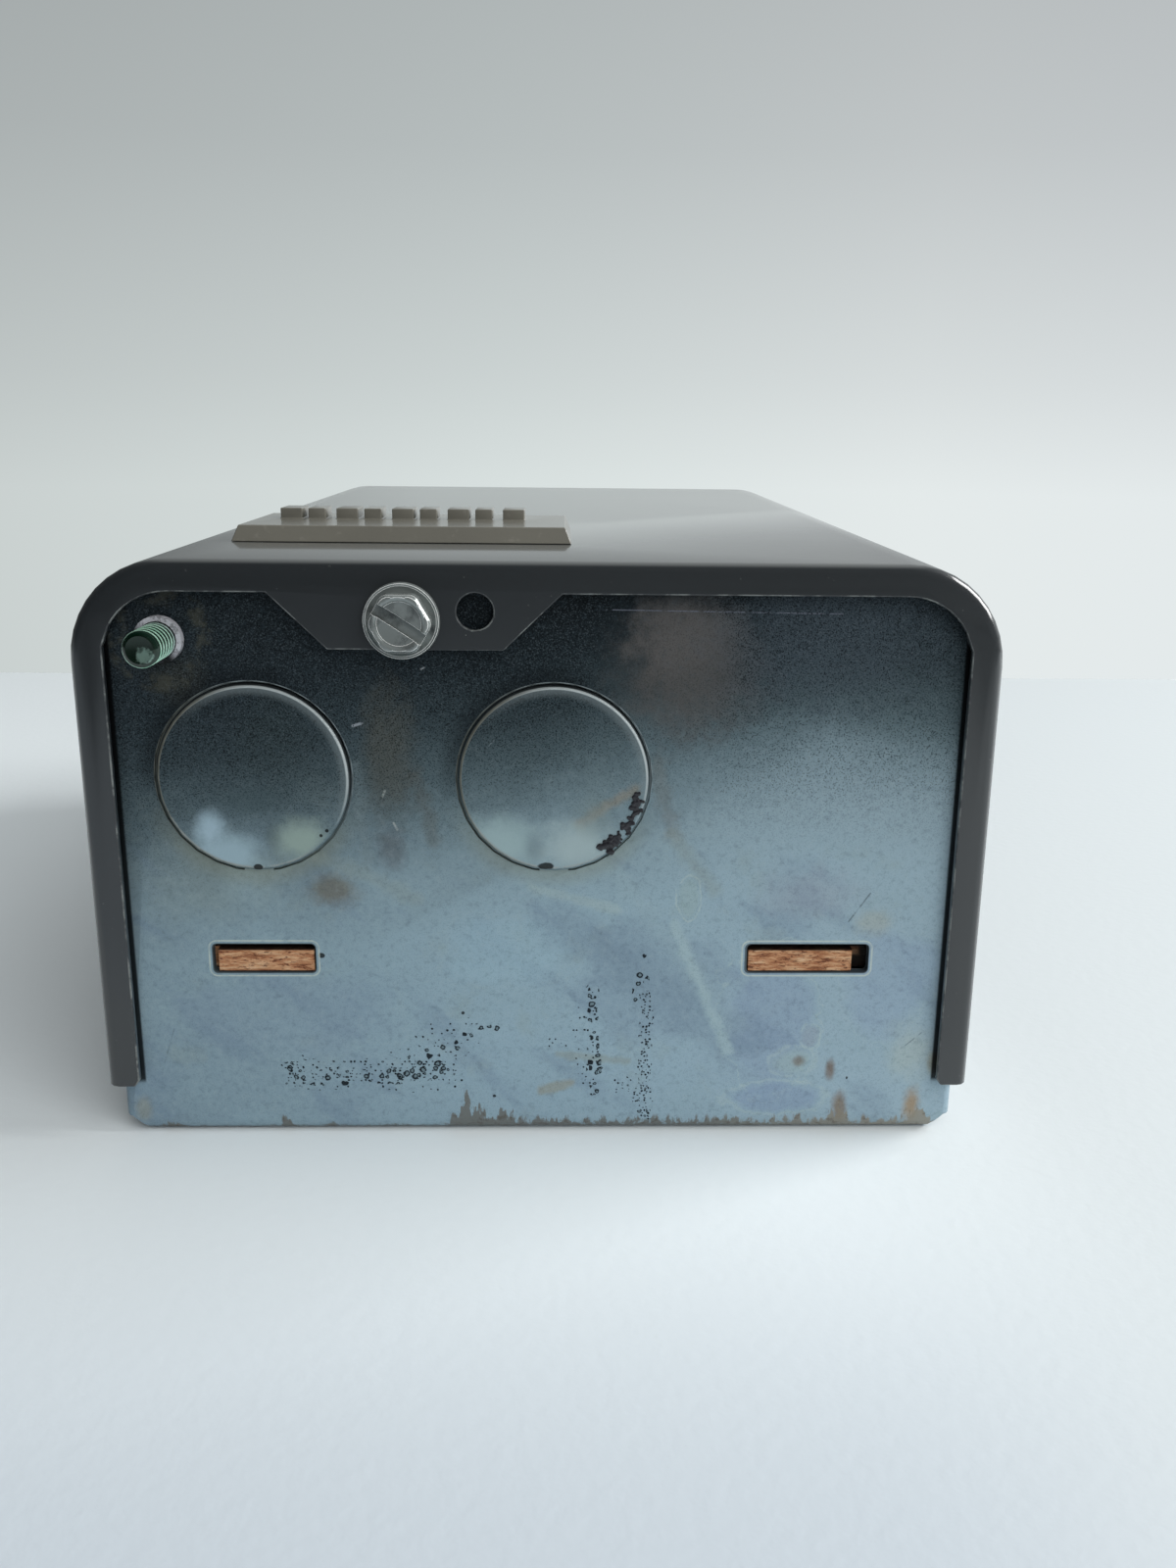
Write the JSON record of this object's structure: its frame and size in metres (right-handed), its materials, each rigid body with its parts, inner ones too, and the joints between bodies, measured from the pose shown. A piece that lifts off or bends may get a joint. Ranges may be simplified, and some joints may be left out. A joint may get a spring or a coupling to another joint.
{
  "type": "wall-mounted switching relay box",
  "caption": "Wall-mounted steel box with a lift-off painted cover, holding a control transformer, a clapper relay and screw terminals that switch a motor.",
  "frame": {"origin": "centre of the back plate's outer face, which goes against the wall", "axes": "+Z out of the wall through the cover, +Y along the box from the end wall with the ground screw to the other, +X to the right seen from that first end"},
  "size_m": [0.105, 0.169, 0.0742],
  "materials": {
    "zinc_plate": "zinc-plated steel sheet with a blue-grey iridescent passivation, stained",
    "grey_paint": "dark grey satin enamel",
    "badge_plastic": "greige moulded plastic",
    "bright_zinc": "bright zinc plating",
    "green_zinc": "green-dyed zinc plating",
    "fibre_board": "vulcanised fibre board, rough at its cut edges",
    "lamination_iron": "blued soft iron",
    "phenolic": "dark phenolic moulding",
    "winding_tape": "varnished cloth tape",
    "enamelled_copper": "layers of enamelled copper wire",
    "terminal_brass": "drawn brass",
    "spring_steel": "hard-drawn spring steel",
    "black_insulation": "black wire insulation",
    "white_insulation": "white wire insulation",
    "yellow_insulation": "yellow wire insulation",
    "blue_insulation": "blue wire insulation"
  },
  "bodies": {
    "box": {"base_pan": "zinc_plate", "transformer_strap": "zinc_plate", "relay_frame": "zinc_plate", "panel_post_1": "bright_zinc", "panel_post_2": "bright_zinc", "panel_screw_1": "bright_zinc", "panel_screw_2": "bright_zinc", "strap_screw_1": "bright_zinc", "strap_screw_2": "bright_zinc", "relay_screw_1": "bright_zinc", "relay_screw_2": "bright_zinc", "block_screw_1": "bright_zinc", "block_screw_2": "bright_zinc", "pivot_pin": "bright_zinc", "fibre_panel": "fibre_board", "barrier": "fibre_board", "transformer_core": "lamination_iron", "relay_pole": "lamination_iron", "transformer_bobbin": "phenolic", "relay_bobbin": "phenolic", "low_voltage_block": "phenolic", "transformer_winding": "winding_tape", "relay_coil": "enamelled_copper", "fixed_contact_left": "terminal_brass", "fixed_contact_right": "terminal_brass", "line_plate_1": "terminal_brass", "line_plate_2": "terminal_brass", "low_voltage_plate_1": "terminal_brass", "low_voltage_plate_2": "terminal_brass", "low_voltage_plate_3": "terminal_brass", "low_voltage_plate_4": "terminal_brass", "return_spring": "spring_steel", "primary_lead_black": "black_insulation", "primary_lead_white": "white_insulation", "secondary_lead_1": "yellow_insulation", "secondary_lead_2": "yellow_insulation", "coil_lead_1": "blue_insulation"},
    "cover_shell": {"cover": "grey_paint", "badge": "badge_plastic", "badge_clip_1": "spring_steel", "badge_clip_2": "spring_steel"},
    "clapper": {"armature": "lamination_iron", "contact_carrier": "phenolic", "contact_bridge": "terminal_brass"},
    "cover_screw_near_turning": {"cover_screw_near": "bright_zinc"},
    "cover_screw_far_turning": {"cover_screw_far": "bright_zinc"},
    "ground_screw_turning": {"ground_screw": "green_zinc"},
    "line_screw_1_turning": {"line_screw_1": "terminal_brass"},
    "line_screw_2_turning": {"line_screw_2": "terminal_brass"},
    "line_screw_3_turning": {"line_screw_3": "terminal_brass"},
    "line_screw_4_turning": {"line_screw_4": "terminal_brass"},
    "low_voltage_screw_1_turning": {"low_voltage_screw_1": "terminal_brass"},
    "low_voltage_screw_2_turning": {"low_voltage_screw_2": "terminal_brass"},
    "low_voltage_screw_3_turning": {"low_voltage_screw_3": "terminal_brass"},
    "low_voltage_screw_4_turning": {"low_voltage_screw_4": "terminal_brass"}
  },
  "joints": [
    {"name": "cover_lift", "type": "slide", "parent": "box", "child": "cover_shell", "axis": [0, 0, 1], "range_m": [0, 0.09]},
    {"name": "armature_pull_in", "type": "hinge", "parent": "box", "child": "clapper", "pos_m": [0.026, -0.0232, 0.0275], "axis": [-1, 0, 0], "range_deg": [0, 5], "stiffness_Nm_per_rad": 0.02, "springref_deg": -9.74},
    {"name": "cover_screw_near_turn", "type": "hinge", "parent": "box", "child": "cover_screw_near_turning", "pos_m": [-0.0154, -0.0799, 0.0642], "axis": [0, -1, 0], "continuous": true},
    {"name": "cover_screw_far_turn", "type": "hinge", "parent": "box", "child": "cover_screw_far_turning", "pos_m": [0.0154, 0.0799, 0.0642], "axis": [0, 1, 0], "continuous": true},
    {"name": "ground_screw_turn", "type": "hinge", "parent": "box", "child": "ground_screw_turning", "pos_m": [-0.0426, -0.0767, 0.0617], "axis": [0, 1, 0], "continuous": true},
    {"name": "line_screw_1_turn", "type": "hinge", "parent": "box", "child": "line_screw_1_turning", "pos_m": [0.01, -0.052, 0.02555], "axis": [0, 0, 1], "continuous": true},
    {"name": "line_screw_2_turn", "type": "hinge", "parent": "box", "child": "line_screw_2_turning", "pos_m": [0.0206, -0.052, 0.02555], "axis": [0, 0, 1], "continuous": true},
    {"name": "line_screw_3_turn", "type": "hinge", "parent": "box", "child": "line_screw_3_turning", "pos_m": [0.0314, -0.052, 0.02555], "axis": [0, 0, 1], "continuous": true},
    {"name": "line_screw_4_turn", "type": "hinge", "parent": "box", "child": "line_screw_4_turning", "pos_m": [0.042, -0.052, 0.02555], "axis": [0, 0, 1], "continuous": true},
    {"name": "low_voltage_screw_1_turn", "type": "hinge", "parent": "box", "child": "low_voltage_screw_1_turning", "pos_m": [-0.04375, -0.044, 0.0292], "axis": [0, 0, 1], "continuous": true},
    {"name": "low_voltage_screw_2_turn", "type": "hinge", "parent": "box", "child": "low_voltage_screw_2_turning", "pos_m": [-0.03625, -0.044, 0.0292], "axis": [0, 0, 1], "continuous": true},
    {"name": "low_voltage_screw_3_turn", "type": "hinge", "parent": "box", "child": "low_voltage_screw_3_turning", "pos_m": [-0.02875, -0.044, 0.0292], "axis": [0, 0, 1], "continuous": true},
    {"name": "low_voltage_screw_4_turn", "type": "hinge", "parent": "box", "child": "low_voltage_screw_4_turning", "pos_m": [-0.02125, -0.044, 0.0292], "axis": [0, 0, 1], "continuous": true}
  ]
}
